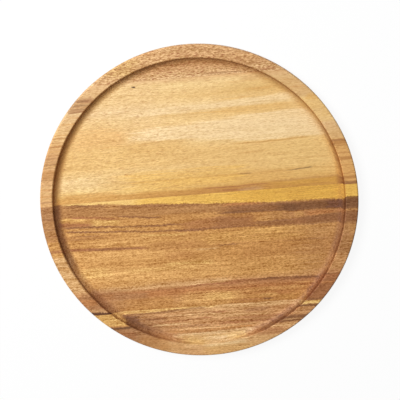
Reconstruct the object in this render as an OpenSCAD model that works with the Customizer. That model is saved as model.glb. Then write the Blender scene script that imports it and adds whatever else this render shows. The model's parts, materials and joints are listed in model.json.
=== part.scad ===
// Round pizza serving board: four edge-glued staves, turned round and dished, with a raised rim.
// Millimetres. +X runs along the grain and the glue lines, +Y across the staves, +Z up.
// The origin is the centre of the underside.

/* [Board] */
// Diameter of the round board
board_diameter = 330; // [280:1:380]
// Thickness of the board at its rim
board_thickness = 15; // [12:0.5:22]
// Radius of the rounded outer edges, above and below
edge_radius = 2; // [1:0.25:4]

/* [Dish] */
// Width of the rim, from the outside of the board to where its top starts to round over into the dish
rim_width = 12.2; // [8:0.1:25]
// Depth of the dish below the top of the rim
dish_depth = 7; // [4:0.25:7]
// Radius of the hollow wall that rises from the floor of the dish
cove_radius = 8; // [7:0.5:12]
// Radius of the rounded lip between the wall and the top of the rim
lip_radius = 1.2; // [0.4:0.1:1.4]

/* [Staves] */
// Width of the back edge stave at its widest, from the board's edge to its glue line
back_stave_width = 33; // [20:0.5:60]
// Width of the front edge stave at its widest, from the board's edge to its glue line
front_stave_width = 54; // [20:0.5:60]
// Thickness of each glue line
glue_thickness = 0.15; // [0.1:0.05:0.4]

/* [Hidden] */

// How far a cutting shape reaches past what it cuts
overrun = 5;

board_radius = board_diameter / 2;
floor_height = board_thickness - dish_depth;

// Centres of the lip's arc and of the hollow wall's arc: the two arcs touch, so the wall runs into the lip
lip_centre_radius = board_radius - rim_width;
lip_centre_height = board_thickness - lip_radius;
cove_centre_height = floor_height + cove_radius;
centre_distance = cove_radius + lip_radius;
centre_rise = cove_centre_height - lip_centre_height;
floor_radius = lip_centre_radius - sqrt(centre_distance ^ 2 - centre_rise ^ 2);

// Centre of each glue line across the staves: the light and the brown stave are equally wide
back_seam = board_radius - back_stave_width;
front_seam = front_stave_width - board_radius;
middle_seam = (back_seam + front_seam) / 2;
half_glue = glue_thickness / 2;

// Outer ends of the two edge staves' cutting slabs
back_end = board_radius + overrun;
front_end = -back_end;

rosy_wood = [0.80, 0.62, 0.42];
light_wood = [0.93, 0.77, 0.54];
brown_wood = [0.76, 0.53, 0.30];
streaky_wood = [0.70, 0.50, 0.29];
dried_glue = [0.48, 0.32, 0.16];

$fn = 180;

// Half of a rounded plate: a rectangle whose two outer corners are arcs
module plate_profile() {
    square([board_radius - edge_radius, board_thickness]);
    translate([0, edge_radius])
        square([board_radius, board_thickness - 2 * edge_radius]);
    for (height = [edge_radius, board_thickness - edge_radius])
        translate([board_radius - edge_radius, height])
            circle(edge_radius);
}

// Half of the dish: a flat floor, a hollow wall and the space above the rounded lip
module dish_profile() {
    translate([0, floor_height])
        square([floor_radius, dish_depth + overrun]);
    translate([floor_radius, cove_centre_height])
        circle(cove_radius);
    difference() {
        polygon([
            [floor_radius, cove_centre_height],
            [lip_centre_radius, lip_centre_height],
            [lip_centre_radius, cove_centre_height + overrun],
            [floor_radius, cove_centre_height + overrun]
        ]);
        translate([lip_centre_radius, lip_centre_height])
            circle(lip_radius);
    }
}

// The whole board as one turned shape, before it is divided into staves
module turned_board() {
    rotate_extrude()
        difference() {
            plate_profile();
            dish_profile();
        }
}

// The part of the board between two straight edges that run along the grain
module slice(front, back) {
    intersection() {
        turned_board();
        translate([front_end, front, -overrun])
            cube([back_end - front_end, back - front, board_thickness + 2 * overrun]);
    }
}

// A glue film centred on a seam, filling the gap between two staves
module glue_line(seam) {
    color(dried_glue) slice(seam - half_glue, seam + half_glue);
}

module back_edge_stave() {
    color(rosy_wood) slice(back_seam + half_glue, back_end);
}

module back_glue_line() {
    glue_line(back_seam);
}

module light_stave() {
    color(light_wood) slice(middle_seam + half_glue, back_seam - half_glue);
}

module middle_glue_line() {
    glue_line(middle_seam);
}

module brown_stave() {
    color(brown_wood) slice(front_seam + half_glue, middle_seam - half_glue);
}

module front_glue_line() {
    glue_line(front_seam);
}

module front_edge_stave() {
    color(streaky_wood) slice(front_end, front_seam - half_glue);
}

back_edge_stave();
back_glue_line();
light_stave();
middle_glue_line();
brown_stave();
front_glue_line();
front_edge_stave();
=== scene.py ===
"""Looks of the round pizza serving board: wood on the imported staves, a soft studio and the photo's camera.

The wood is a function of the place in the board, so it runs on through the rim, the sides and the underside.
Lengths in the wood's own section are board millimetres: x along the grain, y across the staves, z up.
"""
import json
import math
from collections import namedtuple
from functools import partial

import bpy
from mathutils import Matrix, Vector


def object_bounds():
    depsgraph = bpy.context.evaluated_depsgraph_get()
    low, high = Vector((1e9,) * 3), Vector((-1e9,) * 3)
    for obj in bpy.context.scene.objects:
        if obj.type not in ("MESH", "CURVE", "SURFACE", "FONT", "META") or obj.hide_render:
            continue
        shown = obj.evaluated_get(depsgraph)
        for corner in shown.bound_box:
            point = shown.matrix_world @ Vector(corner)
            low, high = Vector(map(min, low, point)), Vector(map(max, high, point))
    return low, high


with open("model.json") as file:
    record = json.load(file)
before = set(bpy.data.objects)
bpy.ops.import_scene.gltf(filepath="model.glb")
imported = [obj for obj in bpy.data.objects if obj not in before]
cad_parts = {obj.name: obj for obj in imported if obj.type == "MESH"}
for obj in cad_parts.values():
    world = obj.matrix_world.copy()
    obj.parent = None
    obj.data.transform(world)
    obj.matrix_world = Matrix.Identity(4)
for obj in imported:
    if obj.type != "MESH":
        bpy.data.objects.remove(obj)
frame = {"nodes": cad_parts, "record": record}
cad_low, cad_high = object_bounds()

MM = 0.001

# Heights and radii of the turned board that the wood and the camera need, in millimetres
BOARD_RADIUS = cad_high.y / MM
BOARD_THICKNESS = cad_high.z / MM
MOUNTS = {mount["name"]: mount["pos_m"] for mount in frame["record"]["mounts"]}
FLOOR_HEIGHT = MOUNTS["dish_floor"][2] / MM
DISH_DEPTH = BOARD_THICKNESS - FLOOR_HEIGHT
WALL_RADII = (146.5, 151.5)

# Tones of the wood, as sRGB from 0 to 255
TONES = {
    "cream": (246, 213, 160),
    "blond": (241, 205, 143),
    "straw": (243, 204, 132),
    "honey": (235, 192, 123),
    "amber": (231, 183, 109),
    "gold": (225, 175, 100),
    "ochre": (216, 162, 90),
    "copper": (201, 146, 76),
    "pale_sapwood": (247, 204, 124),
    "sapwood": (241, 191, 93),
    "deep_sapwood": (231, 177, 78),
    "blush": (217, 173, 120),
    "rose": (199, 150, 99),
    "sand": (219, 170, 114),
    "clay": (207, 152, 99),
    "fawn": (225, 170, 102),
    "tan": (209, 153, 87),
    "caramel": (198, 140, 76),
    "toffee": (187, 130, 72),
    "taupe": (178, 126, 74),
    "rust": (186, 122, 70),
    "russet": (168, 108, 66),
    "chestnut": (148, 98, 60),
    "umber": (126, 83, 50),
    "walnut": (92, 56, 34),
    "pore": (70, 40, 20),
    "pore_stain": (206, 168, 128),
    "beige": (230, 190, 137),
    "mocha": (172, 122, 79),
    "plum": (102, 61, 50),
    # Tones that darken the dish's wall: partly painted shade for its shadow, partly oil
    "oil_and_shade_light": (198, 156, 88),
    "oil_and_shade_brown": (182, 150, 138),
    "light_ends": (178, 124, 46),
    "brown_ends": (152, 110, 80),
    "flax": (222, 181, 110),
    "olive": (160, 122, 66),
}


def linear(tone):
    """A named sRGB tone as linear RGBA."""
    def channel(value):
        share = value / 255
        return share / 12.92 if share <= 0.04045 else ((share + 0.055) / 1.055) ** 2.4
    return (*(channel(value) for value in TONES[tone]), 1.0)


# One streak of figure: a band between a low and a high edge, which both run straight from its start to its
# end and may bow together. soft is how far each edge blurs, fade how far each end takes to come in, both as
# (first, second). where is the part of the board that shows it.
Streak = namedtuple("Streak", "tone x low high bow soft fade strength where")


def pair(value):
    """A number as two equal numbers; two numbers as they are."""
    return value if isinstance(value, tuple) else (value, value)


def streak(tone, strength, x, low, high, bow=0.0, soft=1.0, fade=15.0, where="all"):
    return Streak(tone, x, pair(low), pair(high), bow, pair(soft), pair(fade), strength, where)


def line(tone, strength, x, y, width, soft=0.7, **settings):
    """A thin streak that runs along a centre line."""
    low = tuple(at - width / 2 for at in pair(y))
    high = tuple(at + width / 2 for at in pair(y))
    return streak(tone, strength, x, low, high, soft=soft, **settings)


rim_streak = partial(streak, where="rim")
rim_line = partial(line, where="rim")


class Graph:
    """A node tree, with short calls for the nodes that the materials use."""

    def __init__(self, tree):
        self.tree = tree

    def feed(self, socket, value):
        if isinstance(value, bpy.types.NodeSocket):
            self.tree.links.new(value, socket)
        else:
            socket.default_value = value

    def add(self, kind, *values, **settings):
        node = self.tree.nodes.new(kind)
        for name, setting in settings.items():
            setattr(node, name, setting)
        for socket, value in zip(node.inputs, values):
            self.feed(socket, value)
        return node

    def math(self, operation, *values):
        return self.add("ShaderNodeMath", *values, operation=operation).outputs[0]

    def remap(self, value, start, end, to_start=0.0, to_end=1.0, kind="SMOOTHSTEP"):
        """A value carried from one range to another; a linear one runs on past its ends.

        A clamp here is a node of its own that the renderer works out last, and so many values would wait for
        theirs that the wood would no longer fit in its memory.
        """
        node = self.add(
            "ShaderNodeMapRange", value, start, end, to_start, to_end, interpolation_type=kind, clamp=False)
        return node.outputs[0]

    def vector_math(self, operation, *values):
        return self.add("ShaderNodeVectorMath", *values, operation=operation).outputs[0]

    def join(self, x, y, z):
        return self.add("ShaderNodeCombineXYZ", x, y, z).outputs[0]

    def mix(self, share, first, second, blend="MIX"):
        node = self.add("ShaderNodeMix", data_type="RGBA", blend_type=blend)
        factor, a, b = node.inputs[0], node.inputs[6], node.inputs[7]
        for socket, value in ((factor, share), (a, first), (b, second)):
            self.feed(socket, value)
        return node.outputs[2]

    def noise(self, place, kind, seed=0.0):
        """Smooth noise from 0 to 1 with one kind of grain."""
        size = (kind.length, kind.width, kind.width)
        start = [seed + kind.seed] * 3
        stretched = self.vector_math("MULTIPLY_ADD", place, [1 / length for length in size], start)
        node = self.add("ShaderNodeTexNoise", noise_dimensions="3D")
        for name, value in (
            ("Vector", stretched), ("Scale", 1.0), ("Detail", kind.detail), ("Roughness", kind.roughness),
        ):
            self.feed(node.inputs[name], value)
        return node.outputs[0]

    def ramp(self, value, stops):
        """A colour that runs through the stops, which are (place from 0 to 1, tone)."""
        node = self.add("ShaderNodeValToRGB", value)
        elements = node.color_ramp.elements
        while len(elements) < len(stops):
            elements.new(1.0)
        for element, (place, tone) in zip(elements, stops):
            element.position = place
            element.color = linear(tone)
        return node.outputs[0]


# What brings the peak of share * (1 - share) to 1
PEAK_OF_PARABOLA = 4
# How much the fibres make a streak stronger and weaker along its way
STREAK_UNEVENNESS = 0.4
# Millimetres by which the fibres pull at a streak's ends
END_FRAY = 2.0


def make_streak_group():
    """The node group that lays one streak over a colour."""
    tree = bpy.data.node_groups.new("streak", "ShaderNodeTree")
    floats = ("X", "Y", "Fray", "Where", "Strength", "Bow", "Start", "Full Start", "Full End", "End",
              "Low Start", "Low End", "High Start", "High End", "Low Soft", "High Soft")
    for name in ("Colour", "Tone"):
        tree.interface.new_socket(name, in_out="INPUT", socket_type="NodeSocketColor")
    for name in floats:
        tree.interface.new_socket(name, in_out="INPUT", socket_type="NodeSocketFloat")
    tree.interface.new_socket("Colour", in_out="OUTPUT", socket_type="NodeSocketColor")
    g = Graph(tree)
    given = g.add("NodeGroupInput").outputs
    share = g.remap(given["X"], given["Start"], given["End"], kind="LINEAR")
    low = g.remap(given["X"], given["Start"], given["End"], given["Low Start"], given["Low End"], "LINEAR")
    high = g.remap(given["X"], given["Start"], given["End"], given["High Start"], given["High End"], "LINEAR")
    arch = g.math("MULTIPLY", g.math("MULTIPLY", share, g.math("SUBTRACT", 1.0, share)), given["Bow"])
    y = g.math("SUBTRACT", given["Y"], arch)
    over = g.remap(g.math("DIVIDE", g.math("SUBTRACT", y, low), given["Low Soft"]), -1.0, 1.0)
    under = g.remap(g.math("DIVIDE", g.math("SUBTRACT", high, y), given["High Soft"]), -1.0, 1.0)
    across = g.math("MULTIPLY", over, under)
    started = g.remap(given["X"], given["Start"], given["Full Start"])
    going = g.remap(given["X"], given["End"], given["Full End"])
    along = g.math("MULTIPLY", started, going)
    body = g.math("MULTIPLY", across, along)
    border = g.math("MULTIPLY", g.math("MULTIPLY", body, g.math("SUBTRACT", 1.0, body)), PEAK_OF_PARABOLA)
    frayed = g.math("MAXIMUM", g.math("MULTIPLY_ADD", border, given["Fray"], body), 0.0)
    uneven = g.math("MULTIPLY_ADD", given["Fray"], STREAK_UNEVENNESS, 1.0)
    placed = g.math("MULTIPLY", g.math("MULTIPLY", frayed, uneven), given["Where"])
    mask = g.math("MULTIPLY", placed, given["Strength"])
    g.add("NodeGroupOutput", g.mix(mask, given["Colour"], given["Tone"]))
    return tree


streak_tree = make_streak_group()


def lay_streak(g, colour, s, x, y, fray, masks):
    """Adds one streak over a colour and returns the new colour."""
    start, end = s.x
    node = g.add("ShaderNodeGroup", node_tree=streak_tree)
    for name, value in (
        ("Colour", colour), ("Tone", linear(s.tone)), ("X", x), ("Y", y), ("Fray", fray),
        ("Where", masks[s.where]), ("Strength", s.strength),
        ("Bow", PEAK_OF_PARABOLA * s.bow), ("Start", start), ("End", end),
        ("Full Start", start + s.fade[0]), ("Full End", end - s.fade[1]),
        ("Low Start", s.low[0]), ("Low End", s.low[1]), ("High Start", s.high[0]), ("High End", s.high[1]),
        ("Low Soft", s.soft[0]), ("High Soft", s.soft[1]),
    ):
        g.feed(node.inputs[name], value)
    return node.outputs[0]


# What makes one stave's wood. bands are (y, tone at the left, tone at the right). The tone after the streaks
# darkens the dish's wall, partly as painted shade for its shadow and partly as the oil that it takes up; ends
# is the one that darkens end grain. fibre, thread, grit, ripple and fleck say how strongly the long fibres,
# the finer threads, the short grit, the ripples across the grain and the dark flecks show. comb is how many
# millimetres ripples shift the figure across the grain. calm is where the grain quietens: the y at x = 0
# where it starts to and where it has, then the share of grain at each. right is the share of grain, flecks
# and pores at the board's right.
FIGURE_FIELDS = "seed bands streaks soaked ends fibre thread grit ripple fleck comb calm right"
Figure = namedtuple("Figure", FIGURE_FIELDS, defaults=(None, 1.0))

BACK = Figure(
    seed=3.1,
    bands=[
        (131, "beige", "beige"),
        (135, "blush", "blush"),
        (139, "blush", "blush"),
        (145, "rose", "rose"),
        (150, "blush", "sand"),
        (158, "sand", "blush"),
        (165, "blush", "blush"),
    ],
    streaks=[
        # Darker along the top of the dish's wall, which faces away from the lamp: partly painted shade,
        # partly rosier wood
        streak("rose", 0.6, (-60, 75), 138, 152, soft=3, fade=25, where="floor"),
        rim_streak("flax", 0.5, (-110, -40), 138, 156, soft=4, fade=20),
        rim_streak("blush", 0.7, (-112, -70), 130, 142, soft=2, fade=(1, 14)),
        rim_streak("rose", 0.5, (-30, 85), 140, 170, soft=4, fade=35),
        rim_line("russet", 0.6, (70, 92), 135, 1.6, soft=1, fade=5),
        line("chestnut", 0.35, (8, 62), (134.6, 134), 1.6, fade=12, where="floor"),
    ],
    soaked="oil_and_shade_light", ends="light_ends",
    fibre=0.7, thread=1.0, grit=2.9, ripple=0.0, fleck=1.8,
    comb=1.0,
)

LIGHT = Figure(
    seed=11.7,
    bands=[
        (10, "ochre", "copper"),
        (15, "gold", "copper"),
        (20, "straw", "gold"),
        (28, "blond", "amber"),
        (36, "blond", "honey"),
        (46, "honey", "honey"),
        (58, "honey", "honey"),
        (66, "honey", "blond"),
        (78, "honey", "cream"),
        (92, "blond", "honey"),
        (102, "cream", "blond"),
        (113, "blond", "honey"),
        (126, "blond", "blond"),
        (132, "beige", "sand"),
    ],
    streaks=[
        streak("flax", 0.45, (20, 112), (110.5, 112), (121, 126), soft=4, fade=(40, 12)),
        streak("beige", 0.3, (-140, -10), 68, 130, soft=8, fade=(5, 40)),
        line("ochre", 0.5, (52, 92), (114.5, 115.5), 2.4, soft=1.2, fade=14),
        line("ochre", 0.45, (20, 110), (123.2, 123.6), 1.2, soft=0.8, fade=25),
        streak("cream", 0.8, (-75, 110), (95.5, 101), (102.5, 108), soft=2, fade=(30, 15)),
        line("amber", 0.6, (20, 90), (106.2, 108.4), 1.2, soft=1, fade=18),
        streak("amber", 0.6, (15, 118), (92.5, 94), 98.5, soft=1.6, fade=25),
        line("gold", 0.5, (-38, 45), (94.6, 95.4), 1.3, soft=1, fade=15),
        streak("cream", 0.9, (-70, 60), (73, 64), (80, 88), soft=2.6, fade=(26, 20)),
        streak("cream", 0.75, (25, 140), (63, 62), (87, 92), soft=(1.2, 3), fade=(25, 10)),
        line("copper", 0.75, (36, 130), (60.2, 60.8), 1.3, soft=0.6, fade=22),
        streak("gold", 0.35, (-85, 5), (57, 60), (68, 68.6), soft=3, fade=25),
        line("ochre", 0.6, (-48, -10), 68.4, 1.2, soft=0.6, fade=10),
        streak("fawn", 0.5, (-130, -62), 68, 85, soft=5, fade=20),
        line("gold", 0.4, (-128, -30), (66.4, 67), 1.2, soft=1, fade=20),
        line("copper", 0.55, (92, 146), (39.6, 40.4), 1.1, soft=0.6, fade=12),
        line("copper", 0.35, (38, 100), (50.2, 50.6), 1, soft=0.6, fade=18),
        streak("amber", 0.4, (0, 60), 32, 37, soft=2.5, fade=20),
        streak("cream", 0.2, (-148, -70), (22, 24), (37, 36), soft=5, fade=(8, 45)),
        streak("gold", 0.5, (-60, 150), (19, 20), (28, 28.6), soft=2.5, fade=40),
        line("caramel", 0.75, (-85, 62), (28.4, 28.8), 1.5, fade=20),
        line("ochre", 0.35, (-75, -15), (34.6, 35.6), 1, soft=1, fade=12),
        line("chestnut", 0.8, (42, 60), 28.4, 1.4, soft=0.6, fade=5),
        line("caramel", 0.7, (60, 104), (28.2, 28.4), 1.3, fade=8),
        line("umber", 1.1, (92, 123), (28, 30.6), 1.5, soft=0.5, fade=(12, 7)),
        line("copper", 0.7, (118, 152), (30.4, 27.4), 1.1, soft=0.6, fade=5),
        streak("copper", 0.85, (-95, 170), 9, (15, 19.5), soft=(1, 2), fade=(45, 1)),
        streak("deep_sapwood", 0.4, (50, 152), (10, 11), (18, 18.4), soft=1.4, fade=(30, 4)),
        streak("caramel", 0.5, (-20, 95), 10, (17, 17.5), soft=1.5, fade=25),
        streak("amber", 0.45, (-115, 40), 21, 38, soft=4, fade=35),
        streak("sapwood", 0.35, (-90, 70), 19, 37, soft=5, fade=40),
        streak("straw", 0.3, (60, 146), 20, 60, soft=6, fade=(50, 4)),
        line("russet", 0.7, (2, 80), (16.4, 16.8), 1.2, soft=0.6, fade=14),
        line("russet", 0.6, (18, 70), (12.8, 13.2), 1.8, soft=0.8, fade=14),
        streak("blush", 0.35, (40, 72), 10.4, 15.2, soft=1.4, fade=10),
        line("russet", 0.3, (70, 150), (18.2, 18.6), 1.4, soft=0.8, fade=14),
        line("russet", 0.25, (78, 150), (12.6, 11.8), 1.8, soft=0.9, fade=16),
        streak("ochre", 0.55, (-148, -80), 12.2, 20, soft=2, fade=12),
        line("copper", 0.6, (-138, -98), (18.6, 19.2), 1, soft=1, fade=8),
        line("copper", 0.6, (-118, -60), (14.2, 15.2), 1.6, soft=1, fade=14),
        line("copper", 0.5, (-70, -22), (17.4, 16.4), 1.4, soft=1, fade=14),
        streak("honey", 0.3, (-146, -66), 62, 98, soft=8, fade=(4, 30)),
        line("toffee", 0.4, (50, 84), (125.6, 126.4), 3, soft=1.2, fade=10, where="floor"),
        line("pore", 1.2, (-58.2, -52.8), 126.3, 1.6, soft=0.6, fade=2),
        rim_streak("blush", 0.8, (-114, -70), 116, 134, soft=2, fade=(1, 5)),
        rim_streak("blush", 0.55, (-160, -104), 74, 106, soft=3, fade=(1, 5)),
        rim_streak("sand", 0.85, (-168, -128), 9, 76, soft=3, fade=(1, 4)),
        rim_streak("mocha", 0.7, (-128, -94), (104.4, 106), (119.6, 120.4), soft=3, fade=6),
        rim_line("chestnut", 0.4, (-126, -102), (105.6, 106.6), 1.6, soft=0.8, fade=5),
        rim_line("chestnut", 0.6, (-124, -104), 109.4, 1.3, fade=5),
        rim_line("umber", 0.4, (-122, -102), (112.8, 113.6), 1.5, soft=0.8, fade=6),
        rim_line("umber", 0.4, (-120, -98), (116.4, 117.8), 1.8, soft=0.9, fade=6),
        rim_line("sand", 0.6, (-120, -98), 111, 1.1, soft=0.6, fade=5),
        rim_line("sand", 0.5, (-118, -100), 115, 1.1, soft=0.6, fade=5),
        rim_line("tan", 0.6, (-128, -104), 101.4, 1.2, fade=6),
        rim_line("tan", 0.5, (-136, -112), (94.6, 95.4), 1, soft=0.6, fade=6),
        rim_line("tan", 0.6, (-144, -118), 84.6, 1.2, soft=0.6, fade=6),
        rim_line("toffee", 0.75, (-150, -122), (81.2, 80.4), 1.3, soft=0.6, fade=4),
        rim_line("toffee", 0.55, (-152, -128), 76.8, 1.1, soft=0.6, fade=4),
        rim_line("toffee", 0.7, (-156, -128), (72.8, 73.4), 1.3, soft=0.6, fade=4),
        rim_line("tan", 0.6, (-156, -132), 68.2, 1.2, soft=0.6, fade=4),
        rim_line("toffee", 0.6, (-158, -132), (63.6, 64.2), 1.1, soft=0.6, fade=4),
        rim_line("mocha", 0.7, (-160, -134), (60.6, 61.2), 1.5, soft=0.6, fade=4),
        rim_line("mocha", 0.6, (-160, -136), 58, 1, soft=0.6, fade=4),
        rim_line("chestnut", 0.75, (-162, -136), (54.4, 55.2), 1.4, soft=0.6, fade=4),
        rim_line("mocha", 0.6, (-162, -138), 51.4, 1, soft=0.6, fade=4),
        rim_line("toffee", 0.7, (-164, -138), 46.8, 2.4, soft=0.9, fade=4),
        rim_streak("rose", 0.35, (-168, -136), 36, 66, soft=4, fade=(1, 4)),
        rim_streak("toffee", 0.6, (-166, -140), 38.4, 48.6, soft=2, fade=(1, 4)),
        rim_line("chestnut", 0.6, (-166, -140), 38.8, 1, soft=0.5, fade=(1, 4)),
        rim_line("mocha", 0.5, (-166, -142), 33.6, 1, soft=0.6, fade=(1, 4)),
        rim_line("caramel", 0.6, (-166, -142), 28.6, 1.4, fade=(1, 4)),
        rim_line("caramel", 0.6, (-167, -142), 21.4, 1.3, fade=(1, 4)),
        rim_line("mocha", 0.5, (-167, -142), 15, 1.1, soft=0.6, fade=(1, 4)),
        # Painted shade in the next two: the left wall, which faces away from the lamp, darker
        streak("copper", 0.45, (-153, -50), 20, 134, soft=8, fade=(1, 35), where="wall"),
        streak("russet", 0.2, (-153, -116), 14, 94, soft=8, fade=(1, 8), where="wall"),
        rim_streak("blush", 0.65, (70, 142), 103, 134, soft=3, fade=(8, 1)),
        rim_streak("honey", 0.8, (104, 157), 76, 103, soft=3, fade=(6, 1)),
        rim_streak("sand", 0.6, (125, 162), 57, 77, soft=2, fade=(5, 1)),
        rim_line("tan", 0.5, (92, 118), (122.4, 121.6), 1.6, soft=0.8, fade=6),
        rim_line("tan", 0.5, (100, 122), 114.6, 1.2, fade=6),
        rim_streak("gold", 0.7, (116, 134), 100.5, 106.5, soft=1.6, fade=5),
        rim_streak("fawn", 0.85, (135, 167), 9, 58, soft=1, fade=(3, 1)),
        rim_streak("toffee", 0.9, (138, 167), 51.4, 57.6, soft=(3.5, 0.5), fade=(3, 1)),
        rim_line("mocha", 0.6, (138, 167), 56.6, 1.4, soft=0.6, fade=(3, 1)),
        rim_line("tan", 0.6, (139, 167), 47.8, 1.2, soft=0.6, fade=(3, 1)),
        rim_line("toffee", 0.6, (140, 166), 43.6, 1.5, soft=0.6, fade=(3, 1)),
        rim_streak("toffee", 0.8, (140, 166), 36, 39.6, soft=1, fade=(3, 1)),
        rim_line("toffee", 0.5, (142, 166), 30.8, 1.1, soft=0.6, fade=(3, 1)),
        rim_line("rust", 0.6, (142, 166), 22.2, 1.2, soft=0.6, fade=(3, 1)),
        rim_streak("toffee", 0.85, (142, 166), 16.8, 19.4, soft=0.8, fade=(3, 1)),
        rim_streak("chestnut", 0.9, (142, 167), 9, 13.8, soft=0.8, fade=(3, 1)),
        streak("chestnut", 0.6, (128, 154), 10, 20, soft=2, fade=(16, 1), where="wall"),
        streak("umber", 0.3, (122, 154), 9, 80, soft=8, fade=(14, 1), where="lip"),
        streak("olive", 0.2, (40, 162), 24, 134, soft=4, fade=(20, 1), where="lip"),
    ],
    soaked="oil_and_shade_light", ends="light_ends",
    fibre=0.3, thread=0.6, grit=1.1, ripple=0.0, fleck=0.55,
    comb=0.6, right=0.6,
)

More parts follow.
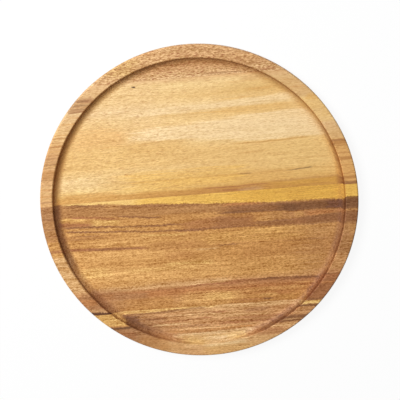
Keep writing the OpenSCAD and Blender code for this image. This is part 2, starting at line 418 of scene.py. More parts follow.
BROWN = Figure(
    seed=23.9,
    bands=[
        (-112, "caramel", "caramel"),
        (-104, "clay", "caramel"),
        (-94, "rust", "rust"),
        (-87, "clay", "clay"),
        (-78, "fawn", "tan"),
        (-67, "fawn", "tan"),
        (-57, "tan", "caramel"),
        (-49, "fawn", "caramel"),
        (-36, "tan", "tan"),
        (-27, "tan", "caramel"),
        (-14, "tan", "toffee"),
        (0, "toffee", "taupe"),
        (11, "taupe", "taupe"),
    ],
    streaks=[
        streak("taupe", 0.85, (-170, 45), (-4, -11), (11, 0), soft=(1.4, 1.2), fade=(1, 30)),
        line("chestnut", 0.55, (-142, 8), (8.2, -1.2), 2.4, soft=1, fade=(8, 16)),
        line("umber", 0.5, (-130, -112), (7.8, 6.6), 1.8, soft=0.8, fade=6),
        streak("tan", 0.4, (-100, -80), 2.6, 7.2, soft=1.2, fade=5),
        streak("gold", 0.7, (-150, -116), (-8.6, -9.8), (-5, -6.4), soft=0.9, fade=(4, 10)),
        streak("amber", 0.85, (-118, -80), (-16, -15.2), (-9, -10.4), soft=1.2, fade=10),
        line("russet", 0.9, (-142, -80), (-4.4, -9.6), 1.6, fade=12),
        line("chestnut", 0.95, (-88, -36), (-6.8, -11.6), 1.7, fade=10),
        streak("russet", 0.85, (-150, -108), (-14.4, -15.6), (-9.8, -13), soft=0.9, fade=(3, 14)),
        line("chestnut", 0.95, (-146, -12), (-15.6, -20.6), 1.9, fade=(8, 20)),
        streak("fawn", 0.45, (-145, -50), (-24, -23.4), (-18, -20.6), soft=1.6, fade=15),
        line("chestnut", 0.95, (-144, 8), (-20, -28.2), 1.8, fade=(8, 10)),
        streak("toffee", 0.75, (-148, -82), -30.2, (-24.8, -26.4), soft=1.4, fade=(4, 15)),
        line("chestnut", 0.6, (-142, -104), (-25.2, -26.4), 1, soft=0.6, fade=8),
        line("chestnut", 0.5, (-142, -98), (-28.4, -28.6), 1, soft=0.6, fade=8),
        streak("fawn", 0.5, (-128, -40), -37.6, -32.2, soft=2, fade=15),
        line("amber", 0.8, (-70, -8), (-29.4, -30.6), 2, soft=0.9, fade=14),
        streak("russet", 0.95, (-144, -44), (-41.4, -44.8), (-38.2, -41.6), soft=0.9, fade=(8, 26)),
        streak("toffee", 0.7, (-62, 14), -46, (-38.4, -38.8), soft=1.6, fade=16),
        line("chestnut", 0.7, (-124, -60), (-40.6, -42.8), 1.6, soft=0.6, fade=14),
        line("toffee", 0.8, (-50, 135), (-45, -46.4), 1.3, fade=20),
        line("chestnut", 0.7, (14, 40), (-45.4, -46), 1.2, soft=0.6, fade=7),
        line("chestnut", 0.45, (84, 136), (-46.6, -46.2), 1, soft=0.6, fade=12),
        line("blush", 0.55, (-10, 20), -48.4, 1.5, fade=7),
        streak("rust", 0.3, (-45, 0), -57, -49, soft=2, fade=15),
        line("caramel", 0.6, (-95, -35), (-60.3, -61.8), 1.8, soft=0.8, fade=14),
        streak("amber", 0.6, (-134, -92), -72, -62.4, soft=2.5, fade=(4, 20)),
        streak("amber", 0.4, (-92, 6), (-69.4, -69), (-65, -65.4), soft=1.6, fade=20),
        line("amber", 0.9, (-44, 14), (-62.4, -62.8), 3.2, soft=1.2, fade=12),
        streak("fawn", 0.8, (-128, -44), (-85, -84.4), (-80.6, -81.4), soft=1.2, fade=(4, 20)),
        streak("caramel", 0.4, (-124, -76), -81.6, -76.8, soft=1.4, fade=10),
        line("caramel", 0.4, (-60, 60), (-80.6, -79.4), 1.2, soft=0.8, fade=20),
        streak("ochre", 0.65, (-5, 122), -42.5, -31.2, soft=2, fade=(20, 30)),
        line("toffee", 0.65, (46, 108), (-37.4, -38.8), 1.3, fade=14),
        line("toffee", 0.45, (84, 146), (-35.8, -34.2), 1, fade=12),
        line("toffee", 0.4, (0, 48), (-40.8, -41.6), 1, fade=12),
        streak("toffee", 0.45, (30, 142), -61.5, -49, soft=2.5, fade=25),
        line("fawn", 0.6, (48, 98), (-62.6, -62.2), 1.3, fade=10),
        line("fawn", 0.4, (88, 125), -55.2, 1.2, fade=10),
        streak("sand", 0.6, (-122, 30), (-88.6, -86), (-83, -82), soft=1.4, fade=15),
        line("russet", 0.85, (-124, -34), (-90.4, -90.8), 1.7, fade=(6, 8)),
        line("russet", 0.85, (-48, 32), (-91, -86.4), 1.8, fade=8),
        streak("rust", 0.5, (-110, 0), (-98.5, -93), (-91, -89), soft=(2, 0.8), fade=(8, 40)),
        streak("mocha", 0.6, (-106, -58), -98.6, -91.6, soft=1.4, fade=10),
        streak("caramel", 0.65, (-106, -30), -111, -98.6, soft=1.8, fade=12),
        streak("fawn", 0.65, (-34, 45), -106.5, -96.4, soft=2.2, fade=15),
        streak("russet", 0.9, (12, 124), (-91, -89), (-86, -86.8), bow=1.6, soft=(2.2, 0.6), fade=(16, 3)),
        streak("chestnut", 0.8, (46, 124), (-88.6, -89.4), (-85.2, -86.8), bow=0.6, soft=0.8, fade=(16, 3)),
        line("walnut", 0.6, (54, 80), (-86, -85.8), 1.2, soft=0.6, fade=8),
        line("walnut", 0.7, (88, 124), (-86.6, -88.2), 1.4, soft=0.6, fade=(10, 3)),
        streak("rust", 0.6, (70, 92), -104, -97.4, soft=1.6, fade=7),
        streak("amber", 0.5, (-6, 32), -105.4, -98.8, soft=1.6, fade=10),
        line("amber", 0.5, (52, 80), -103.6, 1.6, soft=0.8, fade=8),
        streak("rust", 0.3, (45, 112), -104.5, -92.5, soft=2, fade=15),
        streak("fawn", 0.55, (-40, 30), -112, -105, soft=1.5, fade=14),
        line("walnut", 0.4, (78, 114), -88.4, 1.8, soft=0.8, fade=8),
        streak("russet", 0.5, (48, 122), (-91.4, -92.6), -87.4, soft=1.4, fade=(12, 3)),
        streak("fawn", 0.4, (36, 110), (-99.4, -98.8), (-95.6, -95), soft=1.2, fade=14),
        line("fawn", 0.5, (92, 122), -93, 1.6, soft=0.8, fade=6),
        line("russet", 0.6, (24, 82), (-107.4, -108), 1.8, soft=0.9, fade=14),
        line("umber", 0.8, (58, 71), -107.6, 1.8, fade=5),
        line("russet", 0.4, (14, 95), (-110, -110.4), 1, soft=0.6, fade=12),
        streak("tan", 0.35, (-14, 26), -15.2, -10.8, soft=1.2, fade=10),
        streak("rust", 0.8, (22, 70), (-4.6, -5.4), (-1.2, -3), soft=0.8, fade=10),
        streak("chestnut", 0.85, (10, 170), (-12.8, -15.8), (-5.4, -6.2), soft=(1, 1.8), fade=(32, 1)),
        streak("umber", 0.9, (68, 170), (-14.2, -15.8), (-7.4, -6.2), soft=1.4, fade=(24, 1)),
        line("umber", 0.7, (24, 76), (-11.6, -12.4), 1.8, fade=12),
        streak("walnut", 0.3, (82, 108), -14.8, -8, soft=1.4, fade=10),
        streak("plum", 0.5, (130, 158), -13.6, -6.8, soft=1.4, fade=(5, 4)),
        streak("russet", 0.6, (-28, 64), -28, (-17.4, -15.6), soft=(0.6, 2.2), fade=(18, 12)),
        streak("chestnut", 0.45, (8, 66), (-27, -27.4), (-16.2, -17.4), soft=2.2, fade=(14, 22)),
        line("chestnut", 0.85, (-32, 64), (-26.8, -27.6), 1.5, soft=0.6, fade=14),
        streak("caramel", 0.5, (52, 98), -22.2, -14.8, soft=1.2, fade=8),
        streak("rust", 0.35, (57, 72), -21, -15, soft=1.4, fade=6),
        streak("rust", 0.6, (92, 120), -20.6, -15, soft=1, fade=8),
        streak("rust", 0.85, (110, 150), (-19.8, -19.2), -15.4, soft=0.9, fade=(8, 2)),
        streak("chestnut", 0.85, (50, 170), (-29.4, -30.4), (-23.4, -19.2), soft=(1.6, 1.1), fade=(16, 1)),
        streak("russet", 0.35, (92, 170), -29, (-21.6, -19.4), soft=1.3, fade=(12, 1)),
        streak("pale_sapwood", 0.95, (-146, -15), (9.9, 2.6), 14, soft=(0.7, 1), fade=(14, 8)),
        streak("sapwood", 0.85, (-75, 12), (5.3, -0.4), 14, bow=0.6, soft=(0.8, 1), fade=(30, 6)),
        streak("sapwood", 1, (0, 112), (0.2, -5.2), 14, bow=-0.2, soft=(0.8, 1), fade=(8, 40)),
        streak("deep_sapwood", 0.85, (20, 170), (-1, -5.4), 14, bow=-1, soft=(0.8, 1), fade=(40, 1)),
        streak("mocha", 0.4, (80, 154), -84, -29, soft=6, fade=(50, 1)),
        streak("mocha", 0.45, (56, 168), -22.4, -15.2, soft=1.6, fade=(18, 1)),
        streak("tan", 0.5, (58, 78), -22.6, -15, soft=1.6, fade=6),
        streak("tan", 0.25, (74, 88), -20.6, -15, soft=1.4, fade=4),
        streak("ochre", 0.3, (97, 110), -20.2, -16.2, soft=1.2, fade=4),
        streak("rust", 0.7, (110, 142), (-20.4, -19.6), (-17, -16.4), soft=0.9, fade=6),
        streak("umber", 0.4, (100, 168), -29.4, (-21.6, -19.6), soft=(1.2, 0.9), fade=(16, 1)),
        line("toffee", 0.6, (74, 118), (-37.6, -38.4), 1.8, soft=0.8, fade=10),
        line("toffee", 0.5, (26, 48), -36.6, 1.4, fade=7),
        streak("chestnut", 0.5, (118, 154), -84, -27, soft=7, fade=(8, 1), where="lip"),
        streak("umber", 0.55, (98, 128), -112, -80, soft=4, fade=(4, 1), where="lip"),
        streak("mocha", 0.5, (-132, -74), -112, -86, soft=3, fade=(1, 24)),
        # Painted shade in the next two: the left and lower left walls, which face away from the lamp, darker
        streak("plum", 0.55, (-154, -128), -56, 11, soft=6, fade=(1, 6), where="wall"),
        streak("plum", 0.2, (-146, -92), -112, -50, soft=8, fade=(1, 12), where="wall"),
        streak("plum", 0.25, (128, 154), -60, -27, soft=7, fade=(8, 1), where="wall"),
        rim_streak("sapwood", 0.9, (138, 168), -2.4, 12, soft=(0.8, 1), fade=(4, 1)),
        rim_streak("mocha", 0.65, (-168, -142), -26, 11, soft=3, fade=(1, 3)),
        rim_line("chestnut", 0.5, (-167, -144), -3.2, 1.6, fade=(1, 3)),
        rim_line("chestnut", 0.5, (-167, -144), -13.6, 1.8, soft=0.8, fade=(1, 3)),
        rim_streak("blush", 0.6, (-164, -124), -84, -46, soft=4, fade=(1, 3)),
        rim_line("tan", 0.6, (-160, -130), -57.6, 1.4, fade=(1, 3)),
        rim_line("tan", 0.6, (-156, -126), -69, 1.4, fade=(1, 3)),
        rim_line("russet", 0.5, (-166, -146), -21.5, 1.6, fade=(1, 3)),
        rim_line("russet", 0.4, (-166, -146), -27, 1.2, fade=(1, 3)),
        rim_streak("russet", 0.7, (-166, -143), -39.8, -36.6, soft=0.9, fade=(1, 3)),
        rim_line("toffee", 0.5, (-160, -130), -78, 1.4, fade=3),
        rim_line("russet", 0.7, (-142, -114), -90.2, 1.2, soft=0.6, fade=3),
        rim_streak("mocha", 0.75, (-142, -104), -109, -89.6, soft=1.2, fade=(1, 3)),
        rim_streak("rust", 0.7, (-136, -114), -99.6, -93.4, soft=1.6, fade=5),
        rim_line("russet", 0.7, (-136, -104), -102.6, 1.4, fade=3),
        rim_streak("rose", 0.6, (-134, -102), -108.2, -103.6, soft=0.9, fade=3),
        rim_streak("walnut", 1.1, (-130, -97), -113, (-106.6, -108.6), soft=0.6, fade=(1, 3)),
        streak("walnut", 0.7, (-112, -92), -113, (-109, -110.2), soft=0.6, fade=(4, 8), where="wall"),
        rim_streak("umber", 1, (144, 166), -14.2, -2.8, soft=0.9, fade=(4, 1)),
        rim_streak("tan", 0.3, (148, 166), -16.4, -15, soft=0.7, fade=(4, 1)),
        rim_streak("chestnut", 0.85, (144, 166), -28.5, -17.4, soft=1, fade=(4, 1)),
        rim_line("tan", 0.5, (144, 166), -33, 1.5, fade=(4, 1)),
        rim_line("russet", 0.45, (142, 166), -43, 1.5, fade=(4, 1)),
        rim_line("russet", 0.4, (138, 166), -58, 1.4, fade=(4, 1)),
        rim_line("walnut", 0.75, (118, 150), (-83.2, -84.6), 2, fade=(4, 1)),
        rim_streak("mocha", 0.5, (138, 168), -66, -29, soft=3, fade=(3, 1)),
        rim_streak("clay", 0.6, (128, 166), -85, -62, soft=3, fade=(3, 1)),
        rim_streak("russet", 0.5, (116, 150), -86, -78.6, soft=1.6, fade=(3, 1)),
        rim_streak("russet", 1.05, (104, 150), -112, -83.6, soft=(0.6, 0.6), fade=(2, 1)),
        rim_streak("chestnut", 0.4, (104, 150), -112, -88, soft=3, fade=(2, 1)),
        rim_line("rust", 0.5, (118, 146), -93, 2, soft=0.9, fade=4),
        rim_line("umber", 0.5, (102, 126), -109.6, 2.2, soft=1, fade=4),
    ],
    soaked="oil_and_shade_brown", ends="brown_ends",
    fibre=1.2, thread=1.45, grit=2.2, ripple=0.5, fleck=0.3,
    comb=2.6, calm=(1.0, 4.0, 1.0, 0.35),
)

FRONT = Figure(
    seed=41.3,
    bands=[
        (-165, "clay", "clay"),
        (-154, "sand", "sand"),
        (-147, "sand", "sand"),
        (-140, "clay", "clay"),
        (-132, "clay", "clay"),
        (-124, "clay", "clay"),
        (-118, "clay", "clay"),
        (-111, "sand", "sand"),
    ],
    streaks=[
        streak("amber", 0.75, (-104, -50), (-115.8, -114.6), -110, soft=(0.7, 1), fade=(4, 30)),
        streak("amber", 0.8, (-80, 18), (-114.2, -113), -110, soft=(0.6, 1), fade=(20, 14)),
        streak("sand", 0.9, (4, 104), (-115, -116), -110, soft=(0.9, 1), fade=(20, 4)),
        streak("plum", 0.75, (-94, -64), (-140, -140), (-117.2, -118), soft=(2, 0.8), fade=(3, 16),
               where="floor"),
        streak("mocha", 0.65, (-76, -40), (-135, -137), (-117, -122), soft=3, fade=(8, 16)),
        streak("umber", 0.3, (-90, -32), (-142, -146), (-122, -132), soft=3.5, fade=(8, 28), where="floor"),
        rim_streak("plum", 0.5, (-104, -66), (-142, -144), (-127.4, -130), soft=(3, 1), fade=(3, 14)),
        streak("umber", 0.85, (-97, -56), -140, (-117.6, -119), soft=(3, 1), fade=(4, 18), where="wall"),
        line("chestnut", 0.8, (-94, 4), (-117, -112.8), 1.6, fade=(4, 16)),
        streak("sand", 0.35, (-34, 48), -128, -113, soft=3, fade=20),
        line("russet", 0.85, (-70, 25), (-122.6, -118.6), 1.5, fade=12),
        line("russet", 0.75, (-62, 10), (-127.6, -124.8), 1.3, fade=14),
        line("sand", 0.7, (-55, 40), (-120.4, -121.4), 1.6, soft=0.8, fade=14),
        line("sand", 0.7, (10, 70), (-124.2, -123.4), 1.8, soft=0.9, fade=14),
        streak("chestnut", 0.5, (36, 70), (-121, -120), -117, soft=1, fade=9),
        streak("mocha", 0.35, (34, 92), (-133.6, -130), (-127, -124.6), soft=1.4, fade=14),
        line("chestnut", 0.85, (-76, -40), (-122.4, -123.4), 2.2, soft=0.9, fade=10),
        line("blush", 0.7, (-64, -14), (-129.8, -130.2), 1.8, soft=0.9, fade=12),
        line("mocha", 0.7, (-52, 6), (-133.4, -132.6), 2, soft=0.9, fade=12),
        line("russet", 0.7, (10, 95), (-127.2, -126.4), 1.6, fade=14),
        line("russet", 0.75, (5, 92), (-131.8, -131), 2, soft=0.8, fade=14),
        line("sand", 0.65, (-40, 60), (-135.4, -134.6), 1.5, soft=0.8, fade=15),
        line("toffee", 0.7, (-50, 70), (-137.8, -137.2), 1.3, fade=14),
        streak("beige", 0.9, (-44, 58), -154, (-140.4, -138.6), soft=(3, 0.9), fade=18, where="floor"),
        # Painted light: the bottom wall, which faces the lamp, lighter
        streak("straw", 0.95, (-38, 44), -155, (-142.4, -141.4), soft=(1, 1.2), fade=16, where="wall"),
        line("toffee", 0.5, (-44, 45), (-140.6, -139), 1, soft=0.6, fade=12),
        line("caramel", 0.5, (-34, 30), (-144.8, -144), 1, fade=8),
        line("cream", 0.5, (-12, 22), -146.6, 2.4, soft=1.2, fade=8),
        streak("rose", 0.5, (44, 84), -141, -133, soft=2, fade=10, where="floor"),
        rim_streak("toffee", 0.45, (-62, -24), -154.6, -149, soft=1.6, fade=10),
        streak("cream", 0.6, (-10, 44), -154, -147, soft=1.6, fade=12),
        rim_streak("amber", 0.95, (-126, -87), (-126.2, -125.4), -110, soft=0.7, fade=3),
        rim_line("ochre", 0.6, (-118, -92), (-115.4, -116.4), 1.2, fade=5),
        rim_line("ochre", 0.7, (-112, -86), (-120.2, -121), 1.4, fade=5),
        rim_line("copper", 0.7, (-108, -84), (-124.6, -125), 1.4, fade=4),
        rim_streak("mocha", 0.75, (-110, -48), -152, -128.4, soft=(4, 0.8), fade=(1, 12)),
        rim_line("walnut", 0.9, (-110, -80), (-127.8, -127.4), 2.4, fade=(1, 6)),
        rim_streak("russet", 0.6, (-104, -76), (-138, -140), (-131, -133), soft=1.4, fade=6),
        rim_line("chestnut", 0.5, (-98, -70), (-138.4, -134.8), 2, soft=0.9, fade=6),
        rim_streak("toffee", 0.5, (-80, -40), -156, -139, soft=3, fade=10),
        rim_streak("pale_sapwood", 0.85, (96, 126), -114.6, -110, soft=0.6, fade=(2, 1)),
        rim_line("umber", 0.9, (92, 124), (-116.6, -116), 2.2, fade=(4, 1)),
        rim_streak("clay", 0.8, (84, 122), -124.4, -118.6, soft=0.8, fade=(4, 1)),
        rim_line("chestnut", 0.6, (86, 118), (-121.8, -121.4), 1, soft=0.6, fade=(4, 1)),
        rim_streak("chestnut", 0.95, (68, 116), (-133, -131.6), (-126, -124.8), soft=0.9, fade=(6, 1)),
        rim_line("umber", 0.85, (74, 112), (-128, -127.2), 1.6, fade=(6, 1)),
        rim_line("umber", 0.7, (70, 108), (-131.8, -131), 1.2, soft=0.6, fade=(6, 1)),
        rim_line("sand", 0.6, (72, 112), (-129.8, -129.2), 0.9, soft=0.5, fade=(6, 1)),
        rim_streak("sand", 0.6, (60, 104), (-138, -137), -133.8, soft=1, fade=6),
        rim_streak("russet", 0.55, (48, 82), (-146, -145), -138.4, soft=1.6, fade=8),
        streak("umber", 0.6, (44, 106), -150, -110, soft=2, fade=(20, 3), where="lip"),
        rim_streak("amber", 0.4, (-14, 56), -170, -153, soft=3, fade=20),
    ],
    soaked="oil_and_shade_brown", ends="brown_ends",
    fibre=1.8, thread=2.0, grit=2.4, ripple=0.3, fleck=0.3,
    comb=2.0, calm=(-137, -143, 1.0, 0.6),
)


def add_principled(g, colour, roughness, normal, specular):
    """Ends a material's tree in a Principled shader."""
    shader = g.add("ShaderNodeBsdfPrincipled")
    for name, value in (
        ("Base Color", colour), ("Roughness", roughness),
        ("Normal", normal), ("Specular IOR Level", specular),
    ):
        g.feed(shader.inputs[name], value)
    g.add("ShaderNodeOutputMaterial", shader.outputs[0])


def new_material(name):
    """An empty node material and its graph."""
    material = bpy.data.materials.new(name)
    material.use_nodes = True
    material.node_tree.nodes.clear()
    return material, Graph(material.node_tree)


def add_bump(g, height, strength, depth):
    """A normal for heights of which 1 stands for a depth in millimetres."""
    bump = g.add("ShaderNodeBump")
    for socket, value in (("Strength", strength), ("Distance", depth * MM), ("Height", height)):
        g.feed(bump.inputs[socket], value)
    return bump.outputs[0]


# One kind of noise: the length of its grains along the fibres, their width across them, what it adds to the
# stave's seed, its detail and its roughness
Grain = namedtuple("Grain", "length width seed detail roughness", defaults=(1.0, 0.55))
FIBRE_GRAIN = Grain(70, 1.7, 5, 4.0, 0.65)
BAND_GRAIN = Grain(320, 8, 7, 3.0)
THREAD_GRAIN = Grain(28, 1.0, 9, 2.0)
RIPPLE_GRAIN = Grain(1.0, 6.0, 11)
FLECK_GRAIN = Grain(4.5, 1.0, 13, 2.0)
GRIT_GRAIN = Grain(2.8, 0.9, 15, 2.0)
PORE_GRAIN = Grain(7.0, 0.5, 17)
COMB_GRAIN = Grain(2.2, 7.0, 19)
LIP_GRAIN = Grain(10.0, 4.0, 21)
# Noise that bends the figure, and by how many millimetres
WAVES = ((Grain(110, 36, 0), 3.0), (Grain(26, 5, 1), 2.0), (Grain(9, 1.1, 2), 0.7))
BAND_CONTRAST = 0.35
# How far red, green and blue swing with the grain: what is darker is redder
CHANNEL_SWING = (0.78, 1.02, 1.4)
# Where the tones at the left give way to those at the right
LEFT_TO_RIGHT = (-110.0, 90.0)
# How far threads and fibres pull at a streak's edges
THREAD_FRAY = 2.0
FIBRE_FRAY = 3.0
# Noise between which flecks and pores come in, and how strongly they show
FLECK_LEVELS = (0.03, 0.16)
FLECK_SHARE = 0.6
PORE_LEVELS = (0.13, 0.22)
PORE_SHARE = 0.8
# How far the rings lean sideways for each millimetre of depth
RING_LEAN = 0.6
# How far the edge of calm wood falls for each millimetre along the grain
CALM_SLOPE = 0.05
# Heights between which the plain underside changes to the rim's side
UNDERSIDE_ENDS = (0.2, 1.8)
# Radii between which the dark line under the lip comes in and goes, and how far it wanders
LIP_STARTS = (147.4, 149.6)
LIP_ENDS = (152.4, 151.2)
LIP_WOBBLE = 4.5
# Radii between which the wall's darker tone comes in at the foot of the dish's wall, and goes at its top. It
# is partly painted shade for the wall's shadow, partly the darker tone of the oil that the wall takes up
HOLLOW_STARTS = (142.5, 148.5)
HOLLOW_ENDS = (153.2, 151.2)
# How strongly the wall darkens, as painted shade and oil
WALL_OIL_AND_SHADE = 0.4
# The upward share of a face's normal where it starts to count as steep, and where it does
STEEP_FACES = (0.64, 0.45)
# How far along the grain a steep face's normal points, from and to, and the share of oil at each
END_FACES = (0.05, 0.6, 0.1, 1.0)
# The same by radius, since the outer side is drier than the dish
OUTSIDE_SOAK = (153.0, 160.0, 1.0, 0.4)
END_GRAIN_SOAK = 0.5
# Roughness of the oiled wood, and how it changes with the fibres
WOOD_ROUGHNESS = 0.54
FIBRE_ROUGHNESS = -0.25
# Height of a pore against that of the fibres
PORE_HEIGHT = -0.8


def grain(g, place, kind, seed):
    """Noise from -0.5 to 0.5 with one kind of grain."""
    return g.math("SUBTRACT", g.noise(place, kind, seed), 0.5)


def wood(name, figure):
    """A stave's wood: broad bands, listed streaks, then fibres, pores, flecks and ripples."""
    material, g = new_material(name)
    coordinates = g.add("ShaderNodeTexCoord").outputs
    place = g.vector_math("MULTIPLY", coordinates["Object"], [1 / MM] * 3)
    x, y, z = g.add("ShaderNodeSeparateXYZ", place).outputs
    seed = figure.seed

    radius = g.math("SQRT", g.math("ADD", g.math("MULTIPLY", x, x), g.math("MULTIPLY", y, y)))
    outer = g.remap(radius, *WALL_RADII)
    rim = g.math("MULTIPLY", outer, g.remap(z, *UNDERSIDE_ENDS))
    above = g.remap(z, FLOOR_HEIGHT / 2, FLOOR_HEIGHT)
    hollow = g.math("MULTIPLY", g.remap(radius, *HOLLOW_STARTS), g.remap(radius, *HOLLOW_ENDS))
    wall = g.math("MULTIPLY", hollow, above)
    wobbly = g.math("MULTIPLY_ADD", grain(g, place, LIP_GRAIN, seed), LIP_WOBBLE, radius)
    lip_ring = g.math("MULTIPLY", g.remap(wobbly, *LIP_STARTS), g.remap(wobbly, *LIP_ENDS))
    lip = g.math("MULTIPLY", lip_ring, above)
    masks = {"rim": rim, "floor": g.math("SUBTRACT", 1.0, rim), "wall": wall, "lip": lip, "all": 1.0}

    # Below the surface the rings lean, so that the figure on the sides and the ends runs at a slant
    surface = g.math("MULTIPLY_ADD", outer, DISH_DEPTH, FLOOR_HEIGHT)
    wavy = g.math("MULTIPLY_ADD", g.math("SUBTRACT", surface, z), RING_LEAN, y)
    for kind, reach in (*WAVES, (COMB_GRAIN, figure.comb)):
        wavy = g.math("MULTIPLY_ADD", grain(g, place, kind, seed), reach, wavy)

    first, last = figure.bands[0][0], figure.bands[-1][0]
    across = g.remap(wavy, first, last, kind="LINEAR")
    left = g.ramp(across, [((at - first) / (last - first), tone) for at, tone, _ in figure.bands])
    right = g.ramp(across, [((at - first) / (last - first), tone) for at, _, tone in figure.bands])
    rightness = g.remap(x, *LEFT_TO_RIGHT)
    colour = g.mix(rightness, left, right)

    along = g.join(x, wavy, z)
    fibre = grain(g, along, FIBRE_GRAIN, seed)
    thread = grain(g, along, THREAD_GRAIN, seed)
    fray = g.math("MULTIPLY_ADD", thread, THREAD_FRAY, g.math("MULTIPLY", fibre, FIBRE_FRAY))
    # The fray also pulls at the streaks' ends. That makes the renderer draw them one by one: it would
    # otherwise work out a part of every streak first, and has no room to keep all of those
    frayed_x = g.math("MULTIPLY_ADD", fray, END_FRAY, x)
    for s in figure.streaks:
        colour = lay_streak(g, colour, s, frayed_x, wavy, fray, masks)

    shade = g.math("MULTIPLY", grain(g, along, BAND_GRAIN, seed), BAND_CONTRAST)
    shade = g.math("MULTIPLY_ADD", fibre, figure.fibre, shade)
    shade = g.math("MULTIPLY_ADD", thread, figure.thread, shade)
    shade = g.math("MULTIPLY_ADD", grain(g, along, GRIT_GRAIN, seed), figure.grit, shade)
    if figure.ripple:
        shade = g.math("MULTIPLY_ADD", grain(g, place, RIPPLE_GRAIN, seed), figure.ripple, shade)
    if figure.calm:
        sloping = g.math("MULTIPLY_ADD", x, CALM_SLOPE, wavy)
        shade = g.math("MULTIPLY", shade, g.remap(sloping, *figure.calm))
    shown = 1.0
    if figure.right != 1.0:
        shown = g.math("MULTIPLY_ADD", rightness, figure.right - 1.0, 1.0)
        shade = g.math("MULTIPLY", shade, shown)
    swing = g.vector_math("MULTIPLY_ADD", g.join(shade, shade, shade), CHANNEL_SWING, (1.0, 1.0, 1.0))
    colour = g.mix(1.0, colour, swing, blend="MULTIPLY")

    flecks = g.remap(grain(g, along, FLECK_GRAIN, seed), *FLECK_LEVELS, 0.0, FLECK_SHARE * figure.fleck)
    colour = g.mix(g.math("MULTIPLY", flecks, shown), colour, linear("russet"))
    pores = g.remap(grain(g, along, PORE_GRAIN, seed), *PORE_LEVELS)
    stained = g.math("MULTIPLY", g.math("MULTIPLY", pores, PORE_SHARE), shown)
    colour = g.mix(stained, colour, linear("pore_stain"), blend="MULTIPLY")

    # Painted shade darkens the hollow wall for its shadow, along with the oil it takes up more than the flat
    # faces;
    # steep wood that cuts the grain's ends takes up most oil
    colour = g.mix(g.math("MULTIPLY", wall, WALL_OIL_AND_SHADE), colour, linear(figure.soaked), blend="MULTIPLY")
    facing = g.add("ShaderNodeSeparateXYZ", coordinates["Normal"]).outputs
    steep = g.remap(g.math("ABSOLUTE", facing[2]), *STEEP_FACES)
    ends = g.math("MULTIPLY", steep, g.remap(g.math("ABSOLUTE", facing[0]), *END_FACES))
    soak = g.math("MULTIPLY", g.math("MULTIPLY", ends, g.remap(radius, *OUTSIDE_SOAK)), END_GRAIN_SOAK)
    colour = g.mix(soak, colour, linear(figure.ends), blend="MULTIPLY")

    roughness = g.math("MULTIPLY_ADD", fibre, FIBRE_ROUGHNESS, WOOD_ROUGHNESS)
    height = g.math("MULTIPLY_ADD", pores, PORE_HEIGHT, fibre)
    normal = add_bump(g, height, strength=0.25, depth=0.15)
    add_principled(g, colour, roughness, normal, specular=0.25)
    return material


GLUE_GRAIN = Grain(14, 2, 61.0, 3.0)
# Places in the noise, from 0 to 1, of the glue's two tones
GLUE_TONES = [(0.3, "chestnut"), (0.7, "rust")]
# Roughness of smooth glue, and how much rougher its blotches are
GLUE_ROUGHNESS = 0.35
BLOTCH_ROUGHNESS = 0.3


def dried_glue():
    """The hairline of dark glue between two staves."""
    material, g = new_material("dried_glue")
    place = g.vector_math("MULTIPLY", g.add("ShaderNodeTexCoord").outputs["Object"], [1 / MM] * 3)
    blotch = g.noise(place, GLUE_GRAIN)
    roughness = g.math("MULTIPLY_ADD", blotch, BLOTCH_ROUGHNESS, GLUE_ROUGHNESS)
    normal = add_bump(g, blotch, strength=0.2, depth=0.1)
    add_principled(g, g.ramp(blotch, GLUE_TONES), roughness, normal, specular=0.3)
    return material


glue = dried_glue()
FINISHES = {
    "back_edge_stave": wood("rosy_wood_looks", BACK),
    "light_stave": wood("light_wood_looks", LIGHT),
    "brown_stave": wood("brown_wood_looks", BROWN),
    "front_edge_stave": wood("streaky_wood_looks", FRONT),
    "back_glue_line": glue,
    "middle_glue_line": glue,
    "front_glue_line": glue,
}
for node_name, finish in FINISHES.items():
    frame["nodes"][node_name].material_slots[0].material = finish


WHITE = (1.0, 1.0, 1.0, 1.0)


def white_for_camera(g, seen, lighting):
    """A shader that shows one closure to the camera and in reflections, and lights with another."""
    path = g.add("ShaderNodeLightPath").outputs
    mirrored = g.math("MAXIMUM", path["Is Glossy Ray"], path["Is Transmission Ray"])
    looks = g.math("MAXIMUM", path["Is Camera Ray"], mirrored)
    return g.add("ShaderNodeMixShader", looks, lighting, seen).outputs[0]


# The photo's camera: it stands above the board's far side, turned so that the grain rises to the right.
# Angles are radians, the distance is in millimetres
IMAGE_SIZE = 400
GRAIN_TURN = math.radians(5.0)
CAMERA_TILT = math.radians(12.87)
CAMERA_SIDE = math.radians(9.88)
CAMERA_DISTANCE = 1000.0
PIXELS_PER_MM = 0.960
# How far the board's centre lies left of and below the image's centre, in pixels
CENTRE_LEFT = 1.41
CENTRE_BELOW = 4.04
SENSOR_WIDTH = 36.0

photo_right = Vector((math.cos(GRAIN_TURN), -math.sin(GRAIN_TURN), 0))
photo_up = Vector((math.sin(GRAIN_TURN), math.cos(GRAIN_TURN), 0))


def towards(side, height_angle):
    """The direction at an angle from photo-up towards photo-right, and an angle above the table."""
    flat = photo_up * math.cos(side) + photo_right * math.sin(side)
    return flat * math.cos(height_angle) + Vector((0, 0, math.sin(height_angle)))


def look(position, aim, up):
    """The matrix of a camera or lamp at a position, aimed at a point, with an up direction."""
    back = (position - aim).normalized()
    right = up.cross(back).normalized()
    axes = Matrix((right, back.cross(right), back)).transposed().to_4x4()
    return Matrix.Translation(position) @ axes


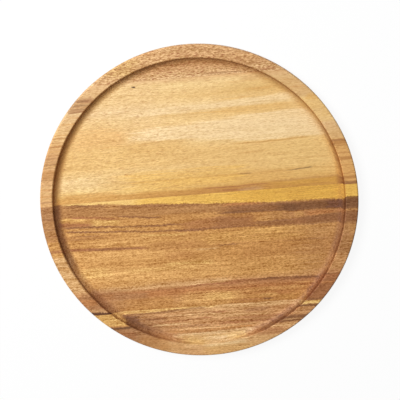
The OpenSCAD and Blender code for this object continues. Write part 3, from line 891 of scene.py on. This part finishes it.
def add_camera():
    camera = bpy.data.objects.new("camera", bpy.data.cameras.new("camera"))
    bpy.context.scene.collection.objects.link(camera)
    centre = Vector((0, 0, BOARD_THICKNESS / 2)) * MM
    direction = towards(CAMERA_SIDE, math.pi / 2 - CAMERA_TILT)
    position = centre + direction * CAMERA_DISTANCE * MM
    right = photo_up.cross(direction).normalized()
    up = direction.cross(right)
    aim = centre + (right * CENTRE_LEFT + up * CENTRE_BELOW) / PIXELS_PER_MM * MM
    camera.matrix_world = look(position, aim, photo_up)
    camera.data.sensor_width = SENSOR_WIDTH
    camera.data.lens = SENSOR_WIDTH * PIXELS_PER_MM * CAMERA_DISTANCE / IMAGE_SIZE
    bpy.context.scene.camera = camera


def add_lamp(name, side, height_angle, distance, width, level):
    """A square softbox aimed at the board, with angles in degrees and lengths in metres.

    side is the angle from photo-up towards photo-right. At a level of 1 the lamp alone shows a level surface
    in the colour that its material is given.
    """
    lamp = bpy.data.objects.new(name, bpy.data.lights.new(name, "AREA"))
    bpy.context.scene.collection.objects.link(lamp)
    lamp.data.size = width
    lamp.data.energy = level * (math.pi * distance) ** 2 / abs(math.sin(math.radians(height_angle)))
    position = towards(math.radians(side), math.radians(height_angle)) * distance
    lamp.matrix_world = look(position, Vector(), photo_up)


def add_world(strength):
    """Even light from all round, and plain white behind the scene."""
    world = bpy.data.worlds.new("studio")
    world.use_nodes = True
    world.node_tree.nodes.clear()
    g = Graph(world.node_tree)
    light = g.add("ShaderNodeBackground", WHITE, strength).outputs[0]
    backdrop = g.add("ShaderNodeBackground", WHITE, 1.0).outputs[0]
    g.add("ShaderNodeOutputWorld", white_for_camera(g, backdrop, light))
    bpy.context.scene.world = world


# How far the floor runs, in metres, and how far inside the board's edge it stops, in millimetres
FLOOR_REACH = 5.0
FLOOR_TUCK = 3.0
FLOOR_SIDES = 128
# How much of the floor's look is plain white; the rest takes the shadow
GLOW_SHARE = 0.92


def add_floor():
    """A white floor with a faint shadow of the board, open under it so that its underside shows."""
    turns = [2 * math.pi * side / FLOOR_SIDES for side in range(FLOOR_SIDES)]
    rings = ((BOARD_RADIUS - FLOOR_TUCK) * MM, FLOOR_REACH)
    corners = [(ring * math.cos(turn), ring * math.sin(turn), 0) for ring in rings for turn in turns]
    following = [(side + 1) % FLOOR_SIDES for side in range(FLOOR_SIDES)]
    faces = [(a, a + FLOOR_SIDES, b + FLOOR_SIDES, b) for a, b in enumerate(following)]
    mesh = bpy.data.meshes.new("floor")
    mesh.from_pydata(corners, [], faces)
    floor = bpy.data.objects.new("floor", mesh)
    bpy.context.scene.collection.objects.link(floor)
    material, g = new_material("white_floor")
    paper = g.add("ShaderNodeBsdfDiffuse", WHITE).outputs[0]
    glow = g.add("ShaderNodeEmission", WHITE, 1.0).outputs[0]
    seen = g.add("ShaderNodeMixShader", GLOW_SHARE, paper, glow).outputs[0]
    g.add("ShaderNodeOutputMaterial", white_for_camera(g, seen, paper))
    mesh.materials.append(material)


add_camera()
add_floor()
add_world(strength=0.12)
add_lamp("key", side=-52, height_angle=53, distance=1.6, width=0.7, level=0.88)
# Under the floor, so that it reaches nothing but the board's underside
add_lamp("under", side=128, height_angle=-60, distance=1.6, width=1.2, level=0.8)
bpy.context.scene.view_settings.view_transform = "Standard"
